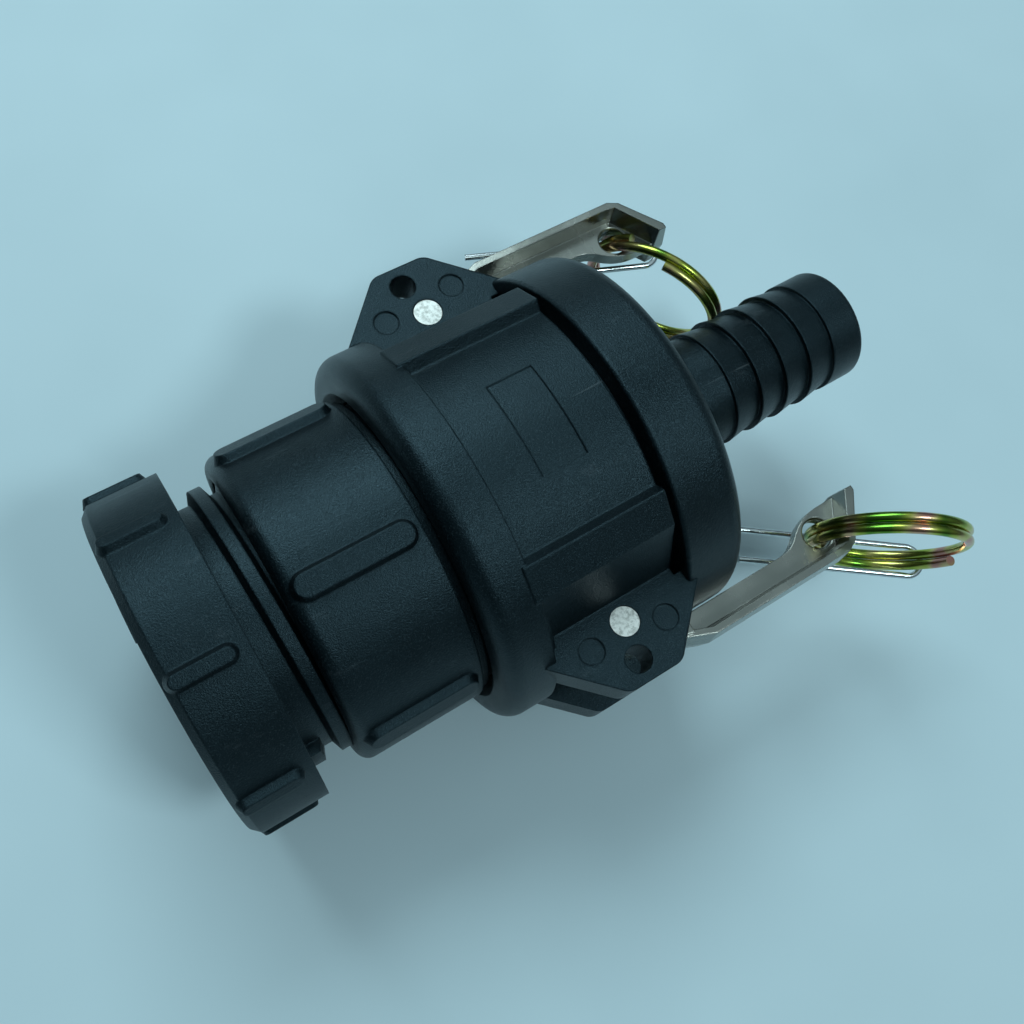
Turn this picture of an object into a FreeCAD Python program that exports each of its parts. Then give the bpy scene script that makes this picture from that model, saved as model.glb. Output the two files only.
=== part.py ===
import FreeCAD, Part
import math
import os
import Sketcher

# Cam-lever coupling assembly that joins the outlet tap of a liquid container to a hose.
# The common axis lies along X. The origin is the centre of the collar's mouth, and +X runs to the hose tail.
# The pivot pins stand along Z. The left lever is on the +Y side, the right lever on the -Y side.

SIZES = {
    # collar that screws on the container's outlet
    "collar_radius": 35.3,
    "collar_length": 15.4,
    "collar_edge_bevel": 1.6,
    "collar_mouth_radius": 28.9,
    "collar_mouth_depth": 12.5,
    "collar_relief_depth": 0.7,
    "collar_rib_count": 8,
    "collar_rib_height": 1.5,
    "collar_rib_width": 4.2,
    "collar_rib_length": 13.2,
    "collar_rib_turn": 28.5,
    "flow_radius": 22.5,
    "spigot_root_radius": 27.0,
    "spigot_length": 25.6,
    "coarse_pitch": 6.0,
    "coarse_depth": 2.5,
    "coarse_crest_width": 2.4,
    "coarse_flank_run": 1.1,
    "coarse_turns": 3.5,
    "coarse_lead_in": 0.95,
    "coarse_start_turn": 75.0,
    "thread_clearance": 0.3,
    "gasket_thickness": 2.5,
    "gasket_side_gap": 0.3,
    # adapter with a coarse female thread and a grooved male end
    "nut_gap": 8.2,
    "nut_radius": 33.7,
    "nut_length": 26.7,
    "nut_edge_radius": 2.8,
    "nut_shoulder_length": 1.9,
    "nut_shoulder_step": 1.0,
    "nut_rib_count": 6,
    "nut_rib_height": 1.5,
    "nut_rib_width": 6.0,
    "nut_rib_length": 24.5,
    "nut_rib_turn": -10.2,
    "male_radius": 31.4,
    "male_bore_radius": 22.5,
    "male_tip_bevel": 0.8,
    "cam_groove_radius": 9.5,
    "cam_groove_floor_radius": 27.4,
    "cam_seat_gap": 0.3,
    # coupler body
    "lip_gap": 1.4,
    "rim_radius": 41.3,
    "rim_length": 10.3,
    "rim_edge_radius": 4.0,
    "bore_clearance": 0.5,
    "mouth_bevel": 3.0,
    "barrel_radius": 39.2,
    "barrel_length": 29.5,
    "dome_groove_width": 1.7,
    "dome_groove_depth": 3.2,
    "dome_length": 14.7,
    "dome_edge_radius": 3.5,
    "dome_front_radius": 0.8,
    "seal_groove_radius": 33.6,
    "seal_thickness": 6.1,
    "seal_bore_radius": 25.4,
    "seal_gap": 0.1,
    "tail_cone_radius": 23.5,
    "tail_cone_length": 11.5,
    "tail_cone_wall": 5.0,
    "tail_bore_radius": 10.4,
    "tail_root_radius": 12.5,
    "tail_crest_radius": 13.6,
    "tail_end_radius": 13.2,
    "tail_crest_count": 5,
    "tail_crest_pitch": 7.12,
    "tail_first_crest": 21.0,
    "tail_end_land": 8.9,
    "tail_end_round": 1.2,
    # ears that carry the levers
    "pivot_reach": 37.4,
    "pivot_offset": 26.2,
    "ear_half_height": 17.4,
    "ear_slot_half": 8.5,
    "ear_reach": 49.4,
    "ear_top_length": 11.0,
    "ear_slope_run": 12.3,
    "ear_root_reach": 34.5,
    "lock_hole_radius": 2.7,
    "lock_hole_back": 1.7,
    "lock_hole_rise": 7.4,
    "mark_radius": 2.6,
    "mark_depth": 0.4,
    "mark_spread": 8.1,
    "mark_rise": 2.5,
    "rail_inner_reach": 20.0,
    "rail_top_reach": 22.0,
    "rail_outer_reach": 27.8,
    "rail_height": 31.0,
    "ear_wall_reach": 33.0,
    "label_length": 9.6,
    "label_start": 10.4,
    "label_angle": 29.0,
    "label_depth": 0.35,
    "window_back": 8.2,
    "window_front": 12.8,
    # cam levers
    "pin_radius": 2.95,
    "pin_fit": 0.05,
    "pin_inset": 0.2,
    "hub_radius": 5.2,
    "hub_side_gap": 0.4,
    "cam_offset": 3.6,
    "cam_lobe_radius": 5.6,
    "cam_angle": 55.0,
    "lever_reach": 65.2,
    "lever_back": 11.7,
    "lever_front": 4.3,
    "lever_head_front": 0.9,
    "lever_head_start": 57.4,
    "lever_head_radius": 12.9,
    "lever_head_turn": 41.0,
    "lever_bend": 56.6,
    "lever_web_half": 1.6,
    "lever_rim_half": 6.8,
    "lever_flange": 3.0,
    "ring_hole_along": 54.0,
    "ring_hole_rise": 4.1,
    "ring_hole_radius": 3.35,
    "ring_hole_bevel": 0.3,
    # split rings and wire clips
    "ring_wire": 2.3,
    "ring_radius": 16.6,
    "ring_pitch": 2.36,
    "ring_turns": 1.9,
    "ring_start_left": 124.0,
    "ring_start_right": -11.0,
    "ring_swing_left": -57.0,
    "ring_swing_right": -35.0,
    "ring_rise_left": -32.0,
    "ring_rise_right": 2.5,
    "ring_lean_left": 5.0,
    "ring_lean_right": 6.0,
    "clip_wire": 1.5,
    "clip_width": 7.2,
    "clip_length": 44.0,
    "clip_place_left": -149.0,
    "clip_place_right": -57.6,
    "clip_slide_left": 12.0,
    "clip_slide_right": 2.2,
    "clip_turn_left": 160.0,
    "clip_turn_right": 145.0,
}


class Size:
    """A length, with its value and the sheet expression that drives it."""

    def __init__(self, value, text):
        self.value = float(value)
        self.text = text

    def __add__(self, other):
        other = as_size(other)
        return Size(self.value + other.value, "(%s + %s)" % (self.text, other.text))

    def __sub__(self, other):
        other = as_size(other)
        return Size(self.value - other.value, "(%s - %s)" % (self.text, other.text))

    def __mul__(self, other):
        other = as_size(other)
        return Size(self.value * other.value, "(%s * %s)" % (self.text, other.text))

    def __truediv__(self, other):
        other = as_size(other)
        return Size(self.value / other.value, "(%s / %s)" % (self.text, other.text))

    def __neg__(self):
        return Size(-self.value, "(0 - %s)" % self.text)


def as_size(number):
    if isinstance(number, Size):
        return number
    return Size(number, "%.6g" % number)


def root(size):
    return Size(math.sqrt(size.value), "sqrt(%s)" % size.text)


def cosine(size):
    return Size(math.cos(math.radians(size.value)), "cos(%s * 1 deg)" % size.text)


def sine(size):
    return Size(math.sin(math.radians(size.value)), "sin(%s * 1 deg)" % size.text)


doc = FreeCAD.newDocument("cam_coupling")
sheet = doc.addObject("Spreadsheet::Sheet", "Sizes")
for row, (alias, number) in enumerate(SIZES.items(), start=1):
    sheet.set("A%d" % row, alias)
    sheet.set("B%d" % row, str(number))
    sheet.setAlias("B%d" % row, alias)
doc.recompute()


def size(alias):
    return Size(sheet.get(alias), "Sizes.%s" % alias)


def new_body(label):
    body = doc.addObject("PartDesign::Body", label)
    body.Label = label
    return body


def origin_feature(body, role):
    for feature in body.Origin.OriginFeatures:
        if feature.Role == role:
            return feature
    raise ValueError("no origin feature " + role)


def new_sketch(body, name, plane, offset=None):
    sketch = body.newObject("Sketcher::SketchObject", name)
    sketch.AttachmentSupport = [(origin_feature(body, plane), "")]
    sketch.MapMode = "FlatFace"
    if offset is not None:
        sketch.setExpression("AttachmentOffset.Base.z", offset.text)
        sketch.AttachmentOffset = FreeCAD.Placement(FreeCAD.Vector(0, 0, offset.value), FreeCAD.Rotation())
    return sketch


def bind_coordinate(sketch, kind, geometry, position, amount):
    """Fix one coordinate of a sketch point to a size of the sheet."""
    if abs(amount.value) < 1e-9:
        axis = -2 if kind == "DistanceX" else -1
        sketch.addConstraint(Sketcher.Constraint("PointOnObject", geometry, position, axis))
        return
    if amount.value > 0:
        ends = (-1, 1, geometry, position)
    else:
        ends = (geometry, position, -1, 1)
        amount = -amount
    index = sketch.addConstraint(Sketcher.Constraint(kind, *ends, amount.value))
    sketch.setExpression("Constraints[%d]" % index, amount.text)


def bind_point(sketch, geometry, position, point):
    bind_coordinate(sketch, "DistanceX", geometry, position, as_size(point[0]))
    bind_coordinate(sketch, "DistanceY", geometry, position, as_size(point[1]))


def vector(point):
    return FreeCAD.Vector(as_size(point[0]).value, as_size(point[1]).value, 0)


def outline(sketch, corners):
    """Draw a closed outline. A corner is a point, or an arc given as ("arc", centre, direction)
    between the points before and after it, where direction is +1 for counter-clockwise."""
    points = [c for c in corners if c[0] != "arc"]
    arcs = {}
    count = 0
    for corner in corners:
        if corner[0] == "arc":
            arcs[count - 1] = corner
        else:
            count += 1
    total = len(points)
    edges = []
    for index in range(total):
        begin = vector(points[index])
        finish = vector(points[(index + 1) % total])
        if index not in arcs:
            edges.append((sketch.addGeometry(Part.LineSegment(begin, finish)), 1, 2))
            continue
        centre = vector(arcs[index][1])
        radius = (begin - centre).Length
        first = math.atan2(begin.y - centre.y, begin.x - centre.x)
        last = math.atan2(finish.y - centre.y, finish.x - centre.x)
        circle = Part.Circle(centre, FreeCAD.Vector(0, 0, 1), radius)
        if arcs[index][2] > 0:
            edges.append((sketch.addGeometry(Part.ArcOfCircle(circle, first, last)), 1, 2))
        else:
            edges.append((sketch.addGeometry(Part.ArcOfCircle(circle, last, first)), 2, 1))
    for index in range(total):
        geometry, start, end = edges[index]
        following, following_start, _ = edges[(index + 1) % total]
        sketch.addConstraint(Sketcher.Constraint("Coincident", geometry, end, following, following_start))
    for index in range(total):
        geometry, start, _ = edges[index]
        after_arc = (index - 1) % total in arcs
        point = points[index]
        if after_arc:
            centre = vector(arcs[(index - 1) % total][1])
            here = vector(point)
            if abs(here.x - centre.x) < abs(here.y - centre.y):
                bind_coordinate(sketch, "DistanceX", geometry, start, as_size(point[0]))
            else:
                bind_coordinate(sketch, "DistanceY", geometry, start, as_size(point[1]))
        else:
            bind_point(sketch, geometry, start, point)
        if index in arcs:
            bind_point(sketch, geometry, 3, arcs[index][1])


def circle(sketch, centre, radius):
    geometry = sketch.addGeometry(Part.Circle(vector(centre), FreeCAD.Vector(0, 0, 1), radius.value))
    index = sketch.addConstraint(Sketcher.Constraint("Radius", geometry, radius.value))
    sketch.setExpression("Constraints[%d]" % index, radius.text)
    bind_point(sketch, geometry, 3, centre)


def revolve(body, name, corners):
    """Turn an outline in the XZ plane, written as (distance along X, radius), about the X axis."""
    sketch = new_sketch(body, name + "_section", "XZ_Plane")
    outline(sketch, corners)
    feature = body.newObject("PartDesign::Revolution", name)
    feature.Profile = sketch
    feature.ReferenceAxis = (sketch, ["H_Axis"])
    feature.Angle = 360
    return feature


def pad(body, name, sketch, length, both_ways=False, reverse=False):
    feature = body.newObject("PartDesign::Pad", name)
    feature.Profile = sketch
    feature.setExpression("Length", length.text)
    feature.Length = length.value
    feature.Midplane = both_ways
    feature.Reversed = reverse
    return feature


def pocket(body, name, sketch, length, both_ways=False, reverse=False):
    feature = body.newObject("PartDesign::Pocket", name)
    feature.Profile = sketch
    feature.setExpression("Length", length.text)
    feature.Length = length.value
    feature.Midplane = both_ways
    feature.Reversed = reverse
    return feature


def pattern_round_axis(body, name, feature, count):
    pattern = body.newObject("PartDesign::PolarPattern", name)
    pattern.Originals = [feature]
    pattern.Axis = (origin_feature(body, "X_Axis"), [""])
    pattern.Angle = 360
    pattern.setExpression("Occurrences", count.text)
    pattern.Occurrences = int(count.value)
    body.Tip = pattern
    return pattern


def grip_ribs(body, name, start, length, width, base, height, turn, count):
    """Raised bars with round ends, laid along the axis and spaced evenly round a collar.
    The first bar stands at an angle turn from +Z towards +Y."""
    sketch = new_sketch(body, name + "_outline", "XY_Plane")
    tilt = "rotation(vector(1; 0; 0); (0 - %s) * 1 deg)" % turn.text
    lift = "%s * vector(0 mm; 0 mm; %s * 1 mm)" % (tilt, (base - 0.4).text)
    sketch.setExpression("AttachmentOffset", "placement(%s; %s)" % (lift, tilt))
    half = width / 2
    first = start + half
    last = start + length - half
    outline(sketch, [
        (first, -half), (last, -half), ("arc", (last, as_size(0)), 1), (last, half),
        (first, half), ("arc", (first, as_size(0)), 1),
    ])
    rib = pad(body, name + "_bar", sketch, height + 0.4)
    rib.TaperAngle = -24
    doc.recompute()
    return pattern_round_axis(body, name + "_ring", rib, count)


def coarse_thread(body, name, kind, start, root_radius, grow, turns):
    """A coarse trapezoid ridge, or the groove that takes it, wound round the X axis."""
    half_crest = size("coarse_crest_width") / 2 + grow
    half_root = half_crest + size("coarse_flank_run")
    top = size("spigot_root_radius") + size("coarse_depth") + grow
    sketch = new_sketch(body, name + "_section", "XZ_Plane")
    turn = "rotation(vector(1; 0; 0); %s * 1 deg)" % size("coarse_start_turn").text
    sketch.setExpression("AttachmentOffset", "placement(vector(0 mm; 0 mm; 0 mm); %s)" % turn)
    outline(sketch, [
        (start - half_root, root_radius), (start + half_root, root_radius),
        (start + half_crest, top), (start - half_crest, top),
    ])
    feature = body.newObject("PartDesign::" + kind, name)
    feature.Profile = sketch
    feature.ReferenceAxis = (sketch, ["H_Axis"])
    feature.Mode = 1
    feature.setExpression("Pitch", size("coarse_pitch").text)
    feature.Pitch = size("coarse_pitch").value
    feature.setExpression("Turns", turns.text)
    feature.Turns = turns.value
    return feature


# places along the axis that more than one piece uses
ZERO = as_size(0)
collar_face = size("collar_length")
spigot_end = collar_face + size("spigot_length")
nut_start = collar_face + size("nut_gap")
nut_end = nut_start + size("nut_length")
shoulder_end = nut_end + size("nut_shoulder_length")
lip_start = nut_end + size("lip_gap")
rim_end = lip_start + size("rim_length")
barrel_end = rim_end + size("barrel_length")
dome_start = barrel_end + size("dome_groove_width")
dome_end = dome_start + size("dome_length")
pivot_x = lip_start + size("pivot_offset")
pivot_y = size("pivot_reach")
bore_radius = size("male_radius") + size("bore_clearance")
slot_height = size("ear_slot_half") * 2

# The cam nose rests a small gap off the far flank of the adapter's groove.
lobe_x = pivot_x + size("cam_offset") * cosine(size("cam_angle"))
lobe_y = pivot_y - size("cam_offset") * sine(size("cam_angle"))
groove_centre_y = size("cam_groove_floor_radius") + size("cam_groove_radius")
lobe_room = size("cam_groove_radius") - size("cam_lobe_radius") - size("cam_seat_gap")
lobe_height = groove_centre_y - lobe_y
groove_x = lobe_x - root(lobe_room * lobe_room - lobe_height * lobe_height)
groove_height = groove_centre_y - size("male_radius")
groove_half = root(size("cam_groove_radius") * size("cam_groove_radius") - groove_height * groove_height)
male_tip = barrel_end + 1.6
seal_start = male_tip + size("seal_gap")
seal_seat = seal_start + size("seal_thickness") + size("seal_gap")


def make_collar():
    body = new_body("ibc_collar")
    radius = size("collar_radius")
    bevel = size("collar_edge_bevel")
    mouth = size("collar_mouth_radius")
    relief = mouth + size("collar_relief_depth")
    relief_start = size("collar_mouth_depth") - size("gasket_thickness")
    lead = size("coarse_lead_in")
    revolve(body, "collar_turned", [
        (ZERO, mouth), (ZERO, radius - bevel), (bevel, radius),
        (collar_face, radius), (collar_face, size("spigot_root_radius")),
        (spigot_end - 1.0, size("spigot_root_radius")), (spigot_end, size("spigot_root_radius") - 1.0),
        (spigot_end, size("flow_radius")),
        (size("collar_mouth_depth"), size("flow_radius")), (size("collar_mouth_depth"), relief),
        (relief_start, relief), (relief_start, mouth),
    ])
    doc.recompute()
    coarse_thread(body, "spigot_thread", "AdditiveHelix", collar_face + lead,
                  size("spigot_root_radius") - 0.4, ZERO, size("coarse_turns"))
    doc.recompute()
    grip_ribs(body, "collar_rib", as_size(0.4), size("collar_rib_length"), size("collar_rib_width"),
              radius, size("collar_rib_height"), size("collar_rib_turn"), size("collar_rib_count"))
    return body


def flat_ring(label, start, thickness, inner, outer):
    body = new_body(label)
    revolve(body, label + "_turned", [
        (start, inner), (start + thickness, inner), (start + thickness, outer), (start, outer),
    ])
    return body


def make_adapter():
    body = new_body("cam_adapter")
    edge = size("nut_edge_radius")
    radius = size("nut_radius")
    male = size("male_radius")
    tip_bevel = size("male_tip_bevel")
    thread_bore = size("spigot_root_radius") + size("thread_clearance")
    seat = spigot_end + size("gasket_thickness")
    step = size("nut_shoulder_step")
    revolve(body, "adapter_turned", [
        (nut_start, thread_bore + 2.6), (nut_start, radius - edge),
        ("arc", (nut_start + edge, radius - edge), -1), (nut_start + edge, radius),
        (nut_end, radius), (nut_end, radius - step), (shoulder_end, radius - step), (shoulder_end, male),
        (groove_x - groove_half, male), ("arc", (groove_x, groove_centre_y), 1), (groove_x + groove_half, male),
        (male_tip - tip_bevel, male), (male_tip, male - tip_bevel),
        (male_tip, size("male_bore_radius")), (seat, size("male_bore_radius")), (seat, thread_bore),
        (nut_start + 2.6, thread_bore),
    ])
    doc.recompute()
    lead = size("coarse_lead_in")
    coarse_thread(body, "nut_thread", "SubtractiveHelix", collar_face + lead,
                  thread_bore - 1.0, size("thread_clearance"), size("coarse_turns") + 0.4)
    doc.recompute()
    grip_ribs(body, "nut_rib", nut_start + 1.3, size("nut_rib_length"), size("nut_rib_width"),
              radius, size("nut_rib_height"), size("nut_rib_turn"), size("nut_rib_count"))
    return body


def mirrored(corners, across_x=False, across_y=False):
    """Mirror an outline across the sketch's own axes, keeping the arcs' sense right."""
    turned = []
    for corner in corners:
        if corner[0] == "arc":
            sense = corner[2] * (-1 if across_x != across_y else 1)
            turned.append(("arc", mirrored([corner[1]], across_x, across_y)[0], sense))
            continue
        first, second = as_size(corner[0]), as_size(corner[1])
        turned.append((-first if across_x else first, -second if across_y else second))
    return turned


def through_cut(body, name, sketch, length):
    cut = pocket(body, name, sketch, length, both_ways=True)
    doc.recompute()
    return cut


def make_coupler():
    body = new_body("coupler_body")
    edge = size("rim_edge_radius")
    rim = size("rim_radius")
    barrel = size("barrel_radius")
    dome_edge = size("dome_edge_radius")
    front = size("dome_front_radius")
    cone_end = dome_end + size("tail_cone_length")
    bore = size("tail_bore_radius")
    neck = size("tail_root_radius") + 0.4
    groove_floor = barrel - size("dome_groove_depth")
    seal_side = seal_start - 0.8
    first_crest = dome_end + size("tail_first_crest")
    last_crest = first_crest + size("tail_crest_pitch") * (size("tail_crest_count") - 1)
    tail_end = last_crest + size("tail_end_land")
    end_round = size("tail_end_round")
    end_radius = size("tail_end_radius")
    cone_inner_end = cone_end - 2.4

    corners = [
        (lip_start, bore_radius + size("mouth_bevel")), (lip_start, rim - edge),
        ("arc", (lip_start + edge, rim - edge), -1), (lip_start + edge, rim),
        (rim_end, rim), (rim_end, barrel), (barrel_end, barrel), (barrel_end, groove_floor),
        (dome_start, groove_floor), (dome_start, rim - front),
        ("arc", (dome_start + front, rim - front), -1), (dome_start + front, rim),
        (dome_end - dome_edge, rim), ("arc", (dome_end - dome_edge, rim - dome_edge), -1),
        (dome_end, rim - dome_edge), (dome_end, size("tail_cone_radius")), (cone_end, neck),
        (first_crest, neck),
    ]
    count = int(size("tail_crest_count").value)
    for index in range(count - 1):
        corners.append((first_crest + size("tail_crest_pitch") * index, size("tail_crest_radius")))
        corners.append((first_crest + size("tail_crest_pitch") * (index + 1), size("tail_root_radius")))
    corners += [
        (last_crest, end_radius), (tail_end - end_round, end_radius),
        ("arc", (tail_end - end_round, end_radius - end_round), -1), (tail_end, end_radius - end_round),
        (tail_end, bore), (cone_inner_end, bore), (seal_seat, size("seal_bore_radius") - 1.0),
        (seal_seat, size("seal_groove_radius")), (seal_side, size("seal_groove_radius")),
        (seal_side, bore_radius), (lip_start + size("mouth_bevel"), bore_radius),
    ]
    revolve(body, "coupler_turned", corners)
    doc.recompute()

    # ears: a thick slab on each side with sloping ends
    half = size("ear_half_height")
    corner = as_size(3.5)
    lean = corner * cosine(as_size(45))
    reach = size("ear_reach")
    back = pivot_x + 4.1 - (size("ear_top_length") - 1.9)
    front_x = pivot_x + 4.1
    foot = size("ear_root_reach")
    drop = reach - corner + lean - foot
    ear = [
        (back - lean - drop, foot), (back - lean, reach - corner + lean),
        ("arc", (back, reach - corner), -1), (back, reach), (front_x, reach),
        ("arc", (front_x, reach - corner), -1), (front_x + lean, reach - corner + lean),
        (front_x + lean + drop, foot),
    ]
    sketch = new_sketch(body, "ear_outline", "XY_Plane")
    outline(sketch, ear)
    outline(sketch, mirrored(ear, across_y=True))
    pad(body, "ears", sketch, half * 2, both_ways=True)
    doc.recompute()

    # raised shoulders beside the ears, with a sloping outer wall down to the ear's face
    top = size("rail_top_reach")
    outer = size("rail_outer_reach")
    rail_top = size("rail_height")
    inner = size("rail_inner_reach")
    wall = size("ear_wall_reach")
    inner_height = root(barrel * barrel - inner * inner)
    rail = [
        (inner, inner_height - 2.0), (inner, inner_height), (top, inner_height + 1.9),
        (outer, rail_top), (wall, half), (wall - 2.0, half - 2.0), (outer - 2.0, rail_top - 6.0),
    ]
    sketch = new_sketch(body, "shoulder_section", "YZ_Plane", rim_end - 1.0)
    for across_x in (False, True):
        for across_y in (False, True):
            outline(sketch, mirrored(rail, across_x, across_y))
    pad(body, "shoulders", sketch, size("barrel_length") + 1.0)
    doc.recompute()
    cut_away = [(outer, rail_top), (outer + 12.0, rail_top), (outer + 12.0, half), (wall, half)]
    sketch = new_sketch(body, "ear_wall_section", "YZ_Plane", rim_end + 1.4)
    for across_x in (False, True):
        for across_y in (False, True):
            outline(sketch, mirrored(cut_away, across_x, across_y))
    pocket(body, "ear_wall_cuts", sketch, size("barrel_length") - 1.4, reverse=True)
    doc.recompute()

    # slot between the two plates of each ear
    slot = [(rim_end, barrel + 0.2), (dome_start, barrel + 0.2), (dome_start, reach + 4.0), (rim_end, reach + 4.0)]
    sketch = new_sketch(body, "lever_slot_outline", "XY_Plane")
    outline(sketch, slot)
    outline(sketch, mirrored(slot, across_y=True))
    through_cut(body, "lever_slots", sketch, slot_height)

    # windows through the wall for the cam noses
    window = [
        (pivot_x - size("window_back"), bore_radius - 6.0), (pivot_x + size("window_front"), bore_radius - 6.0),
        (pivot_x + size("window_front"), barrel + 1.0), (pivot_x - size("window_back"), barrel + 1.0),
    ]
    sketch = new_sketch(body, "window_outline", "XY_Plane")
    outline(sketch, window)
    outline(sketch, mirrored(window, across_y=True))
    through_cut(body, "cam_windows", sketch, slot_height)

    # holes for the pivot pins and the smaller lock holes behind them
    sketch = new_sketch(body, "pin_hole_outline", "XY_Plane")
    lock_x = pivot_x - size("lock_hole_back")
    lock_y = pivot_y + size("lock_hole_rise")
    for side in (False, True):
        circle(sketch, mirrored([(pivot_x, pivot_y)], across_y=side)[0], size("pin_radius") + size("pin_fit"))
        circle(sketch, mirrored([(lock_x, lock_y)], across_y=side)[0], size("lock_hole_radius"))
    through_cut(body, "pin_holes", sketch, half * 2 + 2.0)

    # shallow round marks on the faces of the ears
    spread = size("mark_spread")
    for name, level, upward in (("upper", half - size("mark_depth"), True),
                                ("lower", size("mark_depth") - half, False)):
        sketch = new_sketch(body, name + "_mark_outline", "XY_Plane", level)
        for side in (False, True):
            for place in ((pivot_x - spread - 0.7, pivot_y + 1.7), (pivot_x + spread - 0.6, pivot_y + 3.3)):
                circle(sketch, mirrored([place], across_y=side)[0], size("mark_radius"))
        pocket(body, name + "_marks", sketch, size("mark_depth") + 1.0, reverse=upward)
        doc.recompute()

    # plain sunk field on top of the barrel
    spread_angle = size("label_angle") / 2
    deep = barrel - size("label_depth")
    high = barrel + 1.0
    field = [
        (deep * sine(spread_angle), deep * cosine(spread_angle)), ("arc", (ZERO, ZERO), 1),
        (-(deep * sine(spread_angle)), deep * cosine(spread_angle)),
        (-(high * sine(spread_angle)), high * cosine(spread_angle)), ("arc", (ZERO, ZERO), -1),
        (high * sine(spread_angle), high * cosine(spread_angle)),
    ]
    sketch = new_sketch(body, "sunk_field_section", "YZ_Plane", rim_end + size("label_start"))
    outline(sketch, field)
    pocket(body, "sunk_field", sketch, size("label_length"), reverse=True)
    doc.recompute()
    return body


def make_lever(side_name, flip):
    """A cast lever: round hub with a cam lobe, then an arm with a thin web and a broad outer flange."""
    body = new_body("cam_lever_" + side_name)
    full = (size("ear_slot_half") - size("hub_side_gap")) * 2
    flange = size("lever_flange")
    x0 = pivot_x
    y0 = pivot_y
    reach = x0 + size("lever_reach")
    bend = x0 + size("lever_bend")
    back = y0 + size("lever_back")
    belly = y0 + size("lever_front")
    block_end = x0 + 14.6

    # the inner edge swings out round the ring's hole and back in two tangent arcs
    head_x = x0 + size("lever_head_start")
    head_y = y0 - size("lever_head_front")
    head_radius = size("lever_head_radius")
    side = sine(size("lever_head_turn"))
    fall = as_size(1) - cosine(size("lever_head_turn"))
    both_radii = (belly - head_y) / fall
    swing = (head_x - head_radius * side, head_y + head_radius * fall)
    neck_x = head_x - both_radii * side
    web = [
        (x0, y0 + 5.0), (x0 + 13.1, y0 + 8.6), (x0 + 19.1, back - 1.2), (bend - 1.4, back - 1.2),
        (reach - 1.2, y0 + 0.6), (reach - 1.2, head_y - 0.1), (head_x, head_y),
        ("arc", (head_x, head_y + head_radius), -1), swing,
        ("arc", (neck_x, belly - both_radii + head_radius), 1), (neck_x, belly),
        (x0 + 10.4, belly), (x0 + 6.6, y0 - 1.4), (x0, y0 - 3.0),
    ]
    sketch = new_sketch(body, "arm_outline", "XY_Plane")
    outline(sketch, mirrored(web, across_y=flip))
    pad(body, "arm_web", sketch, size("lever_web_half") * 2, both_ways=True)
    doc.recompute()

    # the flange slopes in from its middle towards both rims
    strip = [
        (x0, y0 + 5.0), (x0 + 13.1, y0 + 9.4), (x0 + 19.1, back), (bend - 1.2, back), (bend + 1.6, back - 1.4),
        (reach, y0 + 0.6), (reach, y0 - 1.5), (reach - 2.9, y0 - 1.5), (bend - 0.8, back - flange - 0.2),
        (bend - 2.6, back - flange), (x0 + 19.4, back - flange), (x0 + 13.1, y0 + 9.4 - flange),
        (x0, y0 + 5.0 - flange),
    ]
    for name, downward in (("upper", False), ("lower", True)):
        sketch = new_sketch(body, name + "_flange_outline", "XY_Plane")
        outline(sketch, mirrored(strip, across_y=flip))
        half_flange = pad(body, name + "_flange", sketch, size("lever_rim_half"), reverse=downward)
        half_flange.TaperAngle = -6
        doc.recompute()

    block = [
        (x0, y0 + 4.4), (x0 + 13.1, y0 + 8.2), (block_end, y0 + 8.4), (block_end, belly),
        (x0 + 10.4, belly), (x0 + 6.6, y0 - 1.4), (x0, y0 - 3.0),
    ]
    sketch = new_sketch(body, "hub_arm_outline", "XY_Plane")
    outline(sketch, mirrored(block, across_y=flip))
    pad(body, "hub_arm", sketch, full, both_ways=True)
    doc.recompute()

    sketch = new_sketch(body, "hub_outline", "XY_Plane")
    circle(sketch, mirrored([(x0, y0)], across_y=flip)[0], size("hub_radius"))
    pad(body, "hub", sketch, full, both_ways=True)
    doc.recompute()
    sketch = new_sketch(body, "cam_outline", "XY_Plane")
    circle(sketch, mirrored([(lobe_x, lobe_y)], across_y=flip)[0], size("cam_lobe_radius"))
    pad(body, "cam_lobe", sketch, full, both_ways=True)
    doc.recompute()

    sketch = new_sketch(body, "pivot_hole_outline", "XY_Plane")
    circle(sketch, mirrored([(x0, y0)], across_y=flip)[0], size("pin_radius") + size("pin_fit"))
    through_cut(body, "pivot_hole", sketch, full + 2.0)
    sketch = new_sketch(body, "ring_hole_outline", "XY_Plane")
    place = (x0 + size("ring_hole_along"), y0 + size("ring_hole_rise"))
    circle(sketch, mirrored([place], across_y=flip)[0], size("ring_hole_radius"))
    through_cut(body, "ring_hole", sketch, full)
    bevel = size("ring_hole_bevel")
    for name, level, upward in (("upper", size("lever_web_half") - bevel, True),
                                ("lower", bevel - size("lever_web_half"), False)):
        sketch = new_sketch(body, name + "_ring_bevel_outline", "XY_Plane", level)
        circle(sketch, mirrored([place], across_y=flip)[0], size("ring_hole_radius"))
        cone = pocket(body, name + "_ring_bevel", sketch, bevel, reverse=upward)
        cone.TaperAngle = 45
        doc.recompute()
    return body


def make_pin(side_name, flip):
    body = new_body("pivot_pin_" + side_name)
    half = size("ear_half_height") - size("pin_inset")
    bevel = as_size(0.3)
    sketch = new_sketch(body, "pin_" + side_name + "_section", "XY_Plane")
    circle(sketch, mirrored([(pivot_x, pivot_y)], across_y=flip)[0], size("pin_radius"))
    pad(body, "pin_" + side_name + "_shaft", sketch, half * 2, both_ways=True)
    return body


def turn_text(axis, angle):
    return "rotation(vector(%d; %d; %d); %s * 1 deg)" % (axis + (angle,))


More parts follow.
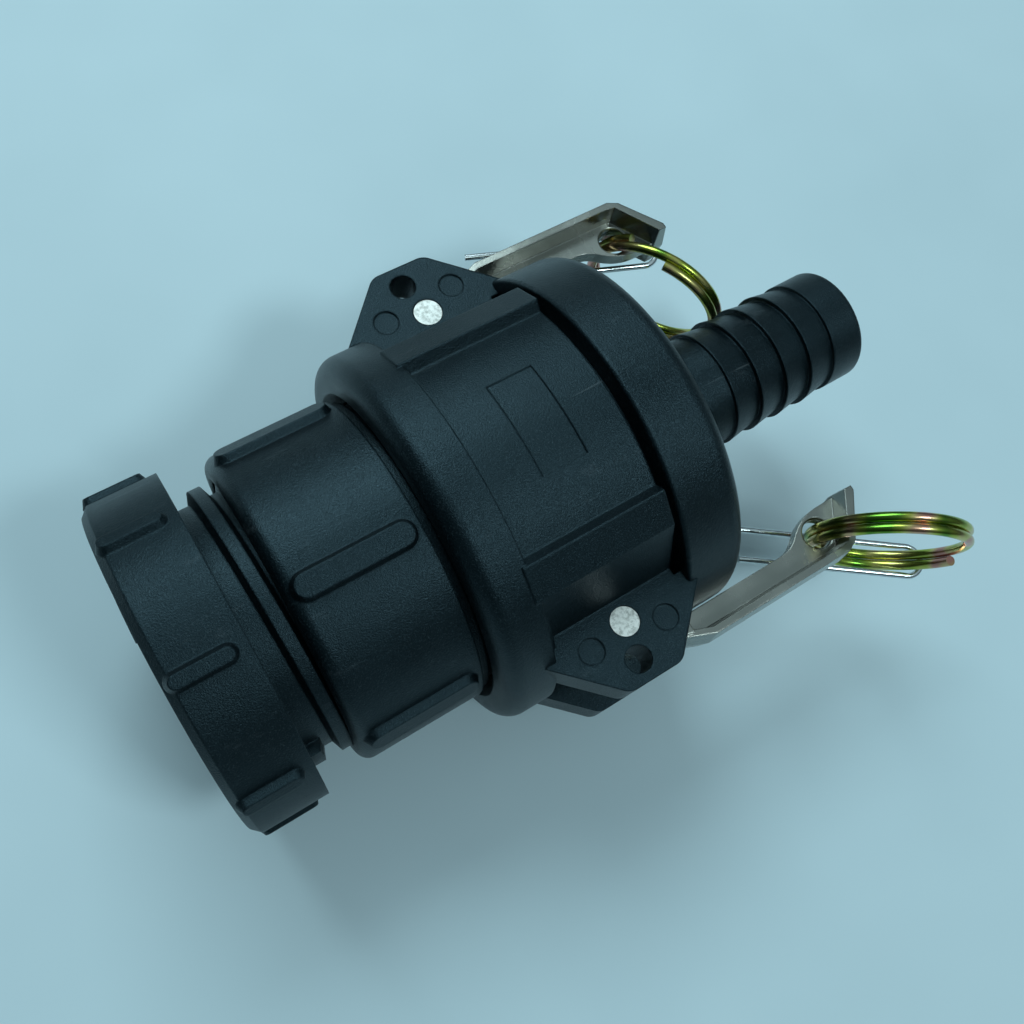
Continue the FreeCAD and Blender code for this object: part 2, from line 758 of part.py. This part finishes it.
def ring_frame(side_name):
    """Rotation text for a pull ring: swing about the lever's hole, rise, then lean."""
    parts = [
        turn_text((0, 0, 1), "Sizes.ring_swing_" + side_name),
        turn_text((0, 1, 0), "(0 - Sizes.ring_rise_%s)" % side_name),
        turn_text((1, 0, 0), "Sizes.ring_lean_" + side_name),
    ]
    return " * ".join(parts)


def hole_text(side_name):
    x = (pivot_x + size("ring_hole_along")).text
    y = (pivot_y + size("ring_hole_rise")).text
    sign = "" if side_name == "left" else "-1 * "
    return "vector(%s * 1 mm; %s%s * 1 mm; 0 mm)" % (x, sign, y)


def make_ring(side_name):
    """A split ring: round wire wound almost twice round, side by side."""
    body = new_body("pull_ring_" + side_name)
    start = size("ring_start_" + side_name)
    radius = size("ring_radius")
    rise = -(size("ring_pitch") * ((start + 180) / 360 + 0.5))
    sketch = new_sketch(body, "ring_wire_section_" + side_name, "XY_Plane")
    circle(sketch, (radius, rise), size("ring_wire") / 2)
    coil = body.newObject("PartDesign::AdditiveHelix", "ring_coil_" + side_name)
    coil.Profile = sketch
    coil.ReferenceAxis = (sketch, ["V_Axis"])
    coil.Mode = 1
    coil.setExpression("Pitch", size("ring_pitch").text)
    coil.Pitch = size("ring_pitch").value
    coil.setExpression("Turns", size("ring_turns").text)
    coil.Turns = size("ring_turns").value
    frame = ring_frame(side_name)
    own = turn_text((0, 1, 0), "(0 - Sizes.ring_start_%s)" % side_name)
    body.setExpression("Placement", "placement(%s + (%s) * vector(%s * 1 mm; 0 mm; 0 mm); %s * %s)" % (
        hole_text(side_name), frame, radius.text, frame, own))
    return body


def make_clip(side_name):
    """A long wire hairpin whose bend holds both strands of the ring."""
    body = new_body("safety_clip_" + side_name)
    half = size("clip_width") / 2
    length = size("clip_length")
    path = new_sketch(body, "clip_path_" + side_name, "XY_Plane")
    lines = []
    lines.append(path.addGeometry(Part.LineSegment(vector((length, -half)), vector((ZERO, -half)))))
    bend = Part.Circle(FreeCAD.Vector(0, 0, 0), FreeCAD.Vector(0, 0, 1), half.value)
    lines.append(path.addGeometry(Part.ArcOfCircle(bend, math.pi / 2, 3 * math.pi / 2)))
    lines.append(path.addGeometry(Part.LineSegment(vector((ZERO, half)), vector((length - 3.0, half)))))
    path.addConstraint(Sketcher.Constraint("Coincident", lines[0], 2, lines[1], 2))
    path.addConstraint(Sketcher.Constraint("Coincident", lines[1], 1, lines[2], 1))
    bind_point(path, lines[0], 1, (length, -half))
    bind_point(path, lines[0], 2, (ZERO, -half))
    bind_point(path, lines[2], 1, (ZERO, half))
    bind_point(path, lines[2], 2, (length - 3.0, half))
    path.addConstraint(Sketcher.Constraint("PointOnObject", lines[1], 3, -2))
    section = new_sketch(body, "clip_wire_section_" + side_name, "YZ_Plane", length)
    circle(section, (-half, ZERO), size("clip_wire") / 2)
    pipe = body.newObject("PartDesign::AdditivePipe", "clip_wire_" + side_name)
    pipe.Profile = section
    pipe.Spine = path
    frame = ring_frame(side_name)
    angle = size("clip_place_" + side_name)
    radius = size("ring_radius")
    along = (radius + radius * cosine(angle)).text
    up = (radius * sine(angle)).text
    middle = (-(size("ring_pitch") * (angle + 180) / 360)).text
    turn = turn_text((0, 0, 1), "Sizes.clip_turn_" + side_name)
    strand = "(%s) * vector(%s * 1 mm; %s * 1 mm; %s * 1 mm)" % (frame, along, middle, up)
    slide = "%s * vector(Sizes.clip_slide_%s * -1 mm; 0 mm; 0 mm)" % (turn, side_name)
    body.setExpression("Placement", "placement(%s + %s + %s; %s)" % (hole_text(side_name), strand, slide, turn))
    return body


seal_inner = size("seal_bore_radius")
gap = size("gasket_side_gap")
makers = [
    lambda: make_collar(),
    lambda: flat_ring("collar_gasket", size("collar_mouth_depth") - size("gasket_thickness"),
                      size("gasket_thickness"), size("flow_radius"), size("collar_mouth_radius") + gap),
    lambda: make_adapter(),
    lambda: flat_ring("thread_seal", spigot_end, size("gasket_thickness"),
                      size("male_bore_radius"), size("spigot_root_radius")),
    lambda: make_coupler(),
    lambda: flat_ring("coupler_gasket", seal_start, size("seal_thickness"),
                      seal_inner, size("seal_groove_radius") - gap),
    lambda: make_lever("left", False),
    lambda: make_lever("right", True),
    lambda: make_pin("left", False),
    lambda: make_pin("right", True),
    lambda: make_ring("left"),
    lambda: make_ring("right"),
    lambda: make_clip("left"),
    lambda: make_clip("right"),
]
pieces = []
for maker in makers:
    piece = maker()
    doc.recompute()
    pieces.append(piece)
doc.recompute()

for item in doc.Objects:
    if "Invalid" in item.State or "Error" in item.State:
        raise RuntimeError("broken feature: " + item.Name)
os.makedirs("parts", exist_ok=True)
for piece in pieces:
    shape = piece.Shape
    if shape.isNull() or not shape.isValid() or len(shape.Solids) != 1:
        raise RuntimeError("bad shape: " + piece.Label)
    shape.exportStep("parts/" + piece.Label + ".step")
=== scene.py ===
import math

import bmesh
import bpy
from mathutils import Matrix, Vector


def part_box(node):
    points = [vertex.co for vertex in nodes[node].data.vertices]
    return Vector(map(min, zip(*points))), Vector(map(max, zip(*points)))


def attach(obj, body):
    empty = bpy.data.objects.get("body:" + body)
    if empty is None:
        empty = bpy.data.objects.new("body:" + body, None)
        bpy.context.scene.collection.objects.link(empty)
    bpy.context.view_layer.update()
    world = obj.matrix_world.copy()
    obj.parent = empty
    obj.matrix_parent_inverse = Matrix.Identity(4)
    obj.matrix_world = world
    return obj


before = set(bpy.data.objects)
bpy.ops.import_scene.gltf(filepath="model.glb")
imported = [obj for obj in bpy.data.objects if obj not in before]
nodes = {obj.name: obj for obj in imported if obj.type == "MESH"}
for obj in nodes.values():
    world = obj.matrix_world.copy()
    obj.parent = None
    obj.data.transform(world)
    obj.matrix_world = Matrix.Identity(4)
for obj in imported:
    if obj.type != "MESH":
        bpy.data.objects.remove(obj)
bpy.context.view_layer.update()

MM = 0.001

# Camera: the photograph's place and turn in the part's own frame.
CAMERA_PLACE = Vector((13.35, -49.56, 203.66)) * MM
CAMERA_RIGHT = Vector((0.8425, -0.5195, 0.1423))
CAMERA_UP = Vector((0.4563, 0.8288, 0.3239))
CAMERA_LENS = 36.0
SENSOR_WIDTH = 36.0
CAMERA_NEAR = 0.005
CAMERA_FAR = 20.0

# Table top, just under the coupler's lowest point.
FLOOR_GAP = 0.1 * MM
FLOOR_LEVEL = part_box("coupler_body")[0].z - FLOOR_GAP
FLOOR_REACH = 4.0

# Fine female thread in the collar's mouth.
THREAD_START = 0.5 * MM
THREAD_LENGTH = 9.2 * MM
THREAD_RADIUS = 28.9 * MM
THREAD_PITCH = 2.31 * MM
THREAD_DEPTH = 1.25 * MM
THREAD_STEPS_PER_TURN = 96
THREAD_FADE_STEPS = 20
# The ridge's section: place along the axis in pitches, height off the wall in depths.
THREAD_SECTION = ((-0.46, -0.02), (-0.09, 1.0), (0.09, 1.0), (0.46, -0.02))

# Lamps: name, place, size in metres, watts and colour. Both aim at the middle of the part.
LAMP_AIM = Vector((0.08, 0.0, 0.0))
LAMPS = (
    ("key_light", (0.13, 0.56, 0.75), (0.60, 0.40), 4.9, (0.72, 0.94, 1.0)),
    ("ceiling_light", (0.33, -0.47, 0.84), (0.22, 0.16), 2.6, (0.76, 0.95, 1.0)),
)

# The room that the part mirrors: brighter overhead, dimmer towards -X.
ROOM_TINT = (0.68, 0.92, 1.0)
ROOM_LEVELS_BY_HEIGHT = ((0.0, 0.03), (0.45, 0.18), (0.95, 0.55))
ROOM_SIDE_RANGE = (-0.7, 0.5)
ROOM_SIDE_STRENGTH = (0.35, 1.0)

# Colour sockets of Blender's Mix node, which share their names with its other kinds.
MIX_FACTOR, MIX_FIRST, MIX_SECOND, MIX_RESULT = 0, 6, 7, 2

# Edges that the solids leave sharp are shaded with a small radius.
PLASTIC_EDGE = 0.60 * MM
STEEL_EDGE = 0.40 * MM
EDGE_SAMPLES = 6


def srgb(red, green, blue):
    """An sRGB colour, 0 to 255 a channel, as linear values with alpha."""
    channels = []
    for value in (red, green, blue):
        value = value / 255
        channels.append(value / 12.92 if value <= 0.04045 else ((value + 0.055) / 1.055) ** 2.4)
    return (*channels, 1.0)


class Shader:
    """A node material, built one node at a time."""

    def __init__(self, name):
        self.material = bpy.data.materials.new(name)
        self.material.use_nodes = True
        self.tree = self.material.node_tree
        self.tree.nodes.clear()
        output = self.node("ShaderNodeOutputMaterial")
        self.surface = self.node("ShaderNodeBsdfPrincipled")
        self.link(self.surface, "BSDF", output, "Surface")
        self.place = self.node("ShaderNodeTexCoord")

    def node(self, kind, **settings):
        made = self.tree.nodes.new(kind)
        for key, value in settings.items():
            setattr(made, key, value)
        return made

    def link(self, source, output, target, socket):
        self.tree.links.new(source.outputs[output], target.inputs[socket])

    def set(self, socket, value):
        self.surface.inputs[socket].default_value = value

    def noise(self, scale, detail=3.0, roughness=0.55, stretch=None):
        """Noise in the part's own metres: scale is in ripples per metre."""
        made = self.node("ShaderNodeTexNoise")
        made.inputs["Scale"].default_value = scale
        made.inputs["Detail"].default_value = detail
        made.inputs["Roughness"].default_value = roughness
        if stretch is None:
            self.link(self.place, "Object", made, "Vector")
            return made
        mapping = self.node("ShaderNodeMapping")
        mapping.inputs["Scale"].default_value = stretch
        self.link(self.place, "Object", mapping, "Vector")
        self.link(mapping, "Vector", made, "Vector")
        return made

    def ramp(self, noise, stops):
        """Colour bands over a noise: stops are (where, colour)."""
        made = self.node("ShaderNodeValToRGB")
        band = made.color_ramp
        while len(band.elements) < len(stops):
            band.elements.new(0.5)
        for element, (where, colour) in zip(band.elements, stops):
            element.position = where
            element.color = colour
        self.link(noise, "Fac", made, "Fac")
        return made

    def spread(self, noise, source_range, target_range):
        """A noise's values between two limits, mapped to two others."""
        made = self.node("ShaderNodeMapRange")
        made.inputs["From Min"].default_value, made.inputs["From Max"].default_value = source_range
        made.inputs["To Min"].default_value, made.inputs["To Max"].default_value = target_range
        self.link(noise, "Fac", made, "Value")
        return made

    def paint(self, noise, stops):
        """Colour the whole surface with a ramp over a noise."""
        self.link(self.ramp(noise, stops), "Color", self.surface, "Base Color")

    def roughen(self, noise, source_range, target_range):
        spread = self.spread(noise, source_range, target_range)
        self.link(spread, "Result", self.surface, "Roughness")

    def soft_edge(self, radius):
        """The normal that a small fillet would give."""
        made = self.node("ShaderNodeBevel", samples=EDGE_SAMPLES)
        made.inputs["Radius"].default_value = radius
        return made

    def bump(self, noise, strength, distance, below=None):
        """Relief over a noise, on top of the normal of the node below."""
        made = self.node("ShaderNodeBump")
        made.inputs["Strength"].default_value = strength
        made.inputs["Distance"].default_value = distance
        self.link(noise, "Fac", made, "Height")
        if below is not None:
            self.link(below, "Normal", made, "Normal")
        self.link(made, "Normal", self.surface, "Normal")
        return made

    def overlay(self, base, base_output, noise, source_range, target_range, colour):
        """Lay a colour over a base where a noise passes its limits."""
        mask = self.spread(noise, source_range, target_range)
        made = self.node("ShaderNodeMix", data_type="RGBA")
        self.link(mask, "Result", made, MIX_FACTOR)
        self.link(base, base_output, made, MIX_FIRST)
        made.inputs[MIX_SECOND].default_value = colour
        return made


def plastic_material(name, dark, light, roughness, grain):
    """Black moulded polypropylene: fine grain, cloudy sheen, pale rub marks, pale specks painted in as
    glints of the grain, and hairlines.
    """
    shader = Shader(name)
    cloud = shader.noise(scale=55, detail=5)
    rub = shader.noise(scale=210, detail=8, roughness=0.75, stretch=(0.35, 1.0, 1.0))
    # Fine noise that places the pale specks painted in as glints: painted highlights.
    glint_speck_noise = shader.noise(scale=3600, detail=1, roughness=0.5)
    hair = shader.noise(scale=900, detail=2, roughness=0.5, stretch=(0.03, 1.0, 0.25))
    tone = shader.ramp(cloud, [(0.35, dark), (0.68, light)])
    rubbed = shader.overlay(tone, "Color", rub, (0.60, 0.80), (0.0, 0.20), srgb(120, 130, 135))
    # Pale specks laid into the base colour stand in for glints on the grain: painted highlights.
    with_painted_glints = shader.overlay(rubbed, MIX_RESULT, glint_speck_noise, (0.58, 0.76), (0.0, 0.10), srgb(120, 138, 146))
    scratched = shader.overlay(with_painted_glints, MIX_RESULT, hair, (0.74, 0.80), (0.0, 0.12), srgb(140, 150, 155))
    shader.link(scratched, MIX_RESULT, shader.surface, "Base Color")
    shader.roughen(cloud, (0.3, 0.7), (roughness - 0.05, roughness + 0.07))
    edge = shader.soft_edge(PLASTIC_EDGE)
    coarse = shader.bump(shader.noise(scale=300, detail=2), strength=0.08, distance=0.15 * MM, below=edge)
    pebble = shader.noise(scale=3000, detail=2, roughness=0.8)
    shader.bump(pebble, strength=grain, distance=0.13 * MM, below=coarse)
    shader.set("Specular IOR Level", 0.38)
    shader.set("Specular Tint", (0.52, 0.84, 1.0, 1.0))
    return shader.material


def rubber_material():
    """Dull black seal rubber."""
    shader = Shader("seal_rubber")
    shader.paint(shader.noise(scale=300), [(0.3, srgb(20, 21, 22)), (0.7, srgb(34, 35, 36))])
    shader.set("Roughness", 0.62)
    shader.bump(shader.noise(scale=1800), strength=0.25, distance=0.04 * MM)
    return shader.material


def cast_steel_material():
    """Satin cast stainless steel with a soft blasted skin."""
    shader = Shader("cast_steel")
    cloud = shader.noise(scale=90, detail=3, roughness=0.5)
    shader.paint(cloud, [(0.3, srgb(138, 140, 134)), (0.7, srgb(152, 153, 147))])
    shader.set("Metallic", 1.0)
    shader.roughen(cloud, (0.3, 0.7), (0.22, 0.30))
    edge = shader.soft_edge(STEEL_EDGE)
    soft = shader.bump(shader.noise(scale=320, detail=3), strength=0.25, distance=0.12 * MM, below=edge)
    shader.bump(shader.noise(scale=2400, detail=4), strength=0.22, distance=0.03 * MM, below=soft)
    return shader.material


def pin_material():
    """Cut pin ends: nearly white, mottled and dull."""
    shader = Shader("pin_steel")
    mottle = shader.noise(scale=1150, detail=6, roughness=0.7)
    shader.paint(mottle, [(0.38, srgb(176, 178, 172)), (0.55, srgb(232, 233, 228))])
    shader.set("Metallic", 0.55)
    shader.set("Roughness", 0.5)
    shader.bump(mottle, strength=0.5, distance=0.10 * MM)
    return shader.material


def plated_wire_material():
    """Yellow zinc plating that drifts through green, straw and pink."""
    shader = Shader("plated_wire")
    drift = shader.noise(scale=120, detail=2, roughness=0.5)
    green, straw = srgb(96, 140, 52), srgb(170, 178, 78)
    cream, pink = srgb(202, 188, 120), srgb(196, 140, 128)
    shader.paint(drift, [(0.32, green), (0.45, straw), (0.55, cream), (0.66, pink)])
    shader.set("Metallic", 1.0)
    shader.set("Roughness", 0.24)
    shader.bump(shader.noise(scale=700, detail=3), strength=0.15, distance=0.05 * MM)
    return shader.material


def bright_wire_material():
    """Drawn bright steel wire."""
    shader = Shader("bright_wire")
    drawn = shader.noise(scale=900, detail=2)
    shader.paint(drawn, [(0.3, srgb(190, 196, 198)), (0.7, srgb(226, 230, 231))])
    shader.set("Metallic", 1.0)
    shader.set("Roughness", 0.2)
    shader.bump(drawn, strength=0.1, distance=0.02 * MM)
    return shader.material


def table_material():
    """Pale blue table top, a little lighter and darker in broad random patches."""
    shader = Shader("table_top")
    broad_patches = shader.noise(scale=9, detail=3)
    shader.paint(broad_patches, [(0.3, srgb(194, 215, 222)), (0.7, srgb(203, 224, 231))])
    shader.set("Roughness", 0.55)
    shader.set("Specular IOR Level", 0.25)
    return shader.material


def dress(node, material):
    mesh = nodes[node].data
    mesh.materials.clear()
    mesh.materials.append(material)


def dress_frame(collar_plastic):
    """Give every solid of the frame its detailed material."""
    coupler_plastic = plastic_material(
        "coupler_plastic", dark=srgb(2, 7, 10), light=srgb(5, 14, 18), roughness=0.33, grain=0.9)
    rubber = rubber_material()
    dress("ibc_collar", collar_plastic)
    for node in ("coupler_body", "cam_adapter"):
        dress(node, coupler_plastic)
    for node in ("collar_gasket", "thread_seal", "coupler_gasket"):
        dress(node, rubber)
    paired = {
        "cam_lever_": cast_steel_material(),
        "pivot_pin_": pin_material(),
        "pull_ring_": plated_wire_material(),
        "safety_clip_": bright_wire_material(),
    }
    for name, material in paired.items():
        for side in ("left", "right"):
            dress(name + side, material)


def make_mouth_thread(material):
    """The mouth's fine thread: a helical ridge that stands in from the wall of the bore."""
    bm = bmesh.new()
    total = int(THREAD_LENGTH / THREAD_PITCH * THREAD_STEPS_PER_TURN)
    rows = []
    for index in range(total + 1):
        angle = 2 * math.pi * index / THREAD_STEPS_PER_TURN
        centre = THREAD_START + THREAD_LENGTH * index / total
        fade = min(1.0, index / THREAD_FADE_STEPS, (total - index) / THREAD_FADE_STEPS)
        row = []
        for along, inward in THREAD_SECTION:
            reach = THREAD_RADIUS - THREAD_DEPTH * inward * (fade if inward > 0 else 1.0)
            place = (centre + along * THREAD_PITCH, reach * math.sin(angle), reach * math.cos(angle))
            row.append(bm.verts.new(place))
        rows.append(row)
    for first, second in zip(rows, rows[1:]):
        for index in range(len(THREAD_SECTION) - 1):
            bm.faces.new((first[index], first[index + 1], second[index + 1], second[index]))
    bm.faces.new(rows[0])
    bm.faces.new(tuple(reversed(rows[-1])))
    bmesh.ops.recalc_face_normals(bm, faces=bm.faces)
    piece = add_mesh("mouth_thread", bm, material)
    for face in piece.data.polygons:
        face.use_smooth = True
    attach(piece, "adapter")


def make_table():
    """A plain table top that reaches well past every view."""
    bm = bmesh.new()
    corners = []
    for x, y in ((-1, -1), (1, -1), (1, 1), (-1, 1)):
        corners.append(bm.verts.new((x * FLOOR_REACH, y * FLOOR_REACH, FLOOR_LEVEL)))
    bm.faces.new(corners)
    add_mesh("table_top", bm, table_material())


def add_mesh(name, bm, material):
    """Put bmesh data in the scene as an object with one material."""
    mesh = bpy.data.meshes.new(name)
    bm.to_mesh(mesh)
    bm.free()
    mesh.materials.append(material)
    return add_object(name, mesh)


def add_object(name, data):
    made = bpy.data.objects.new(name, data)
    bpy.context.scene.collection.objects.link(made)
    return made


def make_camera():
    """The photograph's camera."""
    camera = bpy.data.cameras.new("camera")
    camera.lens = CAMERA_LENS
    camera.sensor_width = SENSOR_WIDTH
    camera.clip_start = CAMERA_NEAR
    camera.clip_end = CAMERA_FAR
    holder = add_object("camera", camera)
    right = CAMERA_RIGHT.normalized()
    back = right.cross(CAMERA_UP).normalized()
    up = back.cross(right)
    turn = Matrix((right, up, back)).transposed().to_4x4()
    holder.matrix_world = Matrix.Translation(CAMERA_PLACE) @ turn
    bpy.context.scene.camera = holder


def make_lamp(name, place, size, energy, colour):
    """A soft rectangular lamp that faces the part."""
    lamp = bpy.data.lights.new(name, "AREA")
    lamp.shape = "RECTANGLE"
    lamp.size, lamp.size_y = size
    lamp.energy = energy
    lamp.color = colour
    holder = add_object(name, lamp)
    holder.location = place
    holder.rotation_euler = (LAMP_AIM - Vector(place)).to_track_quat("-Z", "Y").to_euler()


def make_world():
    """A dim room, bright overhead and dark towards the horizon, so that metal has something to mirror."""
    world = bpy.data.worlds.new("studio")
    bpy.context.scene.world = world
    world.use_nodes = True
    tree = world.node_tree
    room = tree.nodes["Background"]
    place = tree.nodes.new("ShaderNodeTexCoord")
    split = tree.nodes.new("ShaderNodeSeparateXYZ")
    ramp = tree.nodes.new("ShaderNodeValToRGB")
    tree.links.new(place.outputs["Generated"], split.inputs["Vector"])
    tree.links.new(split.outputs["Z"], ramp.inputs["Fac"])
    band = ramp.color_ramp
    band.elements.new(0.5)
    for element, (where, level) in zip(band.elements, ROOM_LEVELS_BY_HEIGHT):
        element.position = where
        element.color = (*(channel * level for channel in ROOM_TINT), 1.0)
    side = tree.nodes.new("ShaderNodeMapRange")
    side.inputs["From Min"].default_value, side.inputs["From Max"].default_value = ROOM_SIDE_RANGE
    side.inputs["To Min"].default_value, side.inputs["To Max"].default_value = ROOM_SIDE_STRENGTH
    tree.links.new(split.outputs["X"], side.inputs["Value"])
    tree.links.new(side.outputs["Result"], room.inputs["Strength"])
    tree.links.new(ramp.outputs["Color"], room.inputs["Color"])
    # The camera itself sees a plain pale backdrop beyond the table top.
    rays = tree.nodes.new("ShaderNodeLightPath")
    backdrop = tree.nodes.new("ShaderNodeBackground")
    backdrop.inputs["Color"].default_value = srgb(172, 201, 211)
    seen = tree.nodes.new("ShaderNodeMixShader")
    tree.links.new(rays.outputs["Is Camera Ray"], seen.inputs[0])
    tree.links.new(room.outputs["Background"], seen.inputs[1])
    tree.links.new(backdrop.outputs["Background"], seen.inputs[2])
    tree.links.new(seen.outputs["Shader"], tree.nodes["World Output"].inputs["Surface"])


def main():
    collar_plastic = plastic_material(
        "collar_plastic", dark=srgb(2, 7, 10), light=srgb(4, 12, 16), roughness=0.38, grain=0.9)
    dress_frame(collar_plastic)
    make_mouth_thread(collar_plastic)
    make_camera()
    make_table()
    make_world()
    for lamp in LAMPS:
        make_lamp(*lamp)
    bpy.context.scene.view_settings.view_transform = "Standard"


main()
